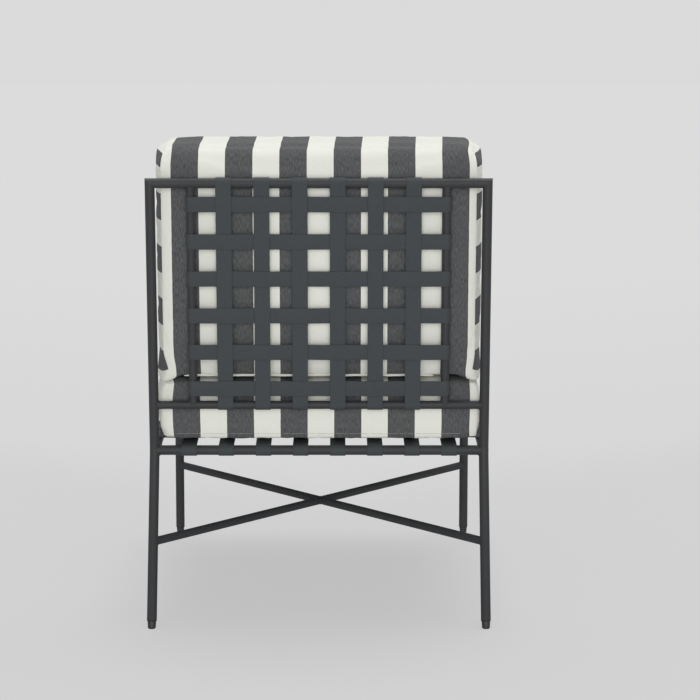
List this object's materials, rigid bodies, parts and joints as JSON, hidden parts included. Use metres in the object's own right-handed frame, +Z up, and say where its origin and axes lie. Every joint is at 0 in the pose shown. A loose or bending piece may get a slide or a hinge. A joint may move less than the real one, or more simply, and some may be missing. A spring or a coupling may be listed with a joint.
{
  "type": "sling patio chair",
  "caption": "Armless outdoor lounge chair: welded tube frame with a woven strap seat and back, and two loose striped box cushions.",
  "frame": {"origin": "on the floor, on the middle plane, midway between the centres of the front and the rear feet", "axes": "+Z up, +Y towards the front of the seat, +X to the sitter's right"},
  "size_m": [0.6646, 0.7977, 0.9328],
  "materials": {
    "powder_coat": "dark grey powder coat, fine satin texture",
    "webbing": "dark grey woven outdoor webbing, matt",
    "glide": "black moulded plastic",
    "cushion_fabric": "outdoor canvas, wide ivory and heathered dark grey stripes"
  },
  "bodies": {
    "frame": {"rear_leg_post_left": "powder_coat", "rear_leg_post_right": "powder_coat", "front_leg_left": "powder_coat", "front_leg_right": "powder_coat", "side_seat_rail_left": "powder_coat", "side_seat_rail_right": "powder_coat", "top_rail": "powder_coat", "lower_back_rail": "powder_coat", "back_upright_left": "powder_coat", "back_upright_right": "powder_coat", "rear_seat_rail": "powder_coat", "front_seat_rail": "powder_coat", "brace_long": "powder_coat", "brace_half_rear": "powder_coat", "brace_half_front": "powder_coat", "foot_glide_rear_left": "glide", "foot_glide_rear_right": "glide", "foot_glide_front_left": "glide", "foot_glide_front_right": "glide", "back_strap_vertical_1": "webbing", "back_strap_vertical_2": "webbing", "back_strap_vertical_3": "webbing", "back_strap_vertical_4": "webbing", "back_strap_vertical_5": "webbing", "back_strap_vertical_6": "webbing", "back_strap_cross_1": "webbing", "back_strap_cross_2": "webbing", "back_strap_cross_3": "webbing", "back_strap_cross_4": "webbing", "back_strap_cross_5": "webbing", "back_strap_cross_6": "webbing", "seat_strap_lengthwise_1": "webbing", "seat_strap_lengthwise_2": "webbing", "seat_strap_lengthwise_3": "webbing", "seat_strap_lengthwise_4": "webbing", "seat_strap_lengthwise_5": "webbing", "seat_strap_lengthwise_6": "webbing", "seat_strap_lengthwise_7": "webbing", "seat_strap_lengthwise_8": "webbing", "seat_strap_cross_1": "webbing", "seat_strap_cross_2": "webbing", "seat_strap_cross_3": "webbing", "seat_strap_cross_4": "webbing", "seat_strap_cross_5": "webbing", "seat_strap_cross_6": "webbing", "seat_strap_cross_7": "webbing", "seat_strap_cross_8": "webbing"},
    "seat_cushion": {"seat_cushion": "cushion_fabric"},
    "back_cushion": {"back_cushion": "cushion_fabric"}
  },
  "joints": [
    {"name": "back_cushion_lift", "type": "slide", "parent": "frame", "child": "back_cushion", "axis": [0, 0, 1], "range_m": [0, 0.42]},
    {"name": "seat_cushion_slide", "type": "slide", "parent": "frame", "child": "seat_cushion", "axis": [0, 0.9994, 0.0349], "range_m": [0, 0.68]}
  ]
}
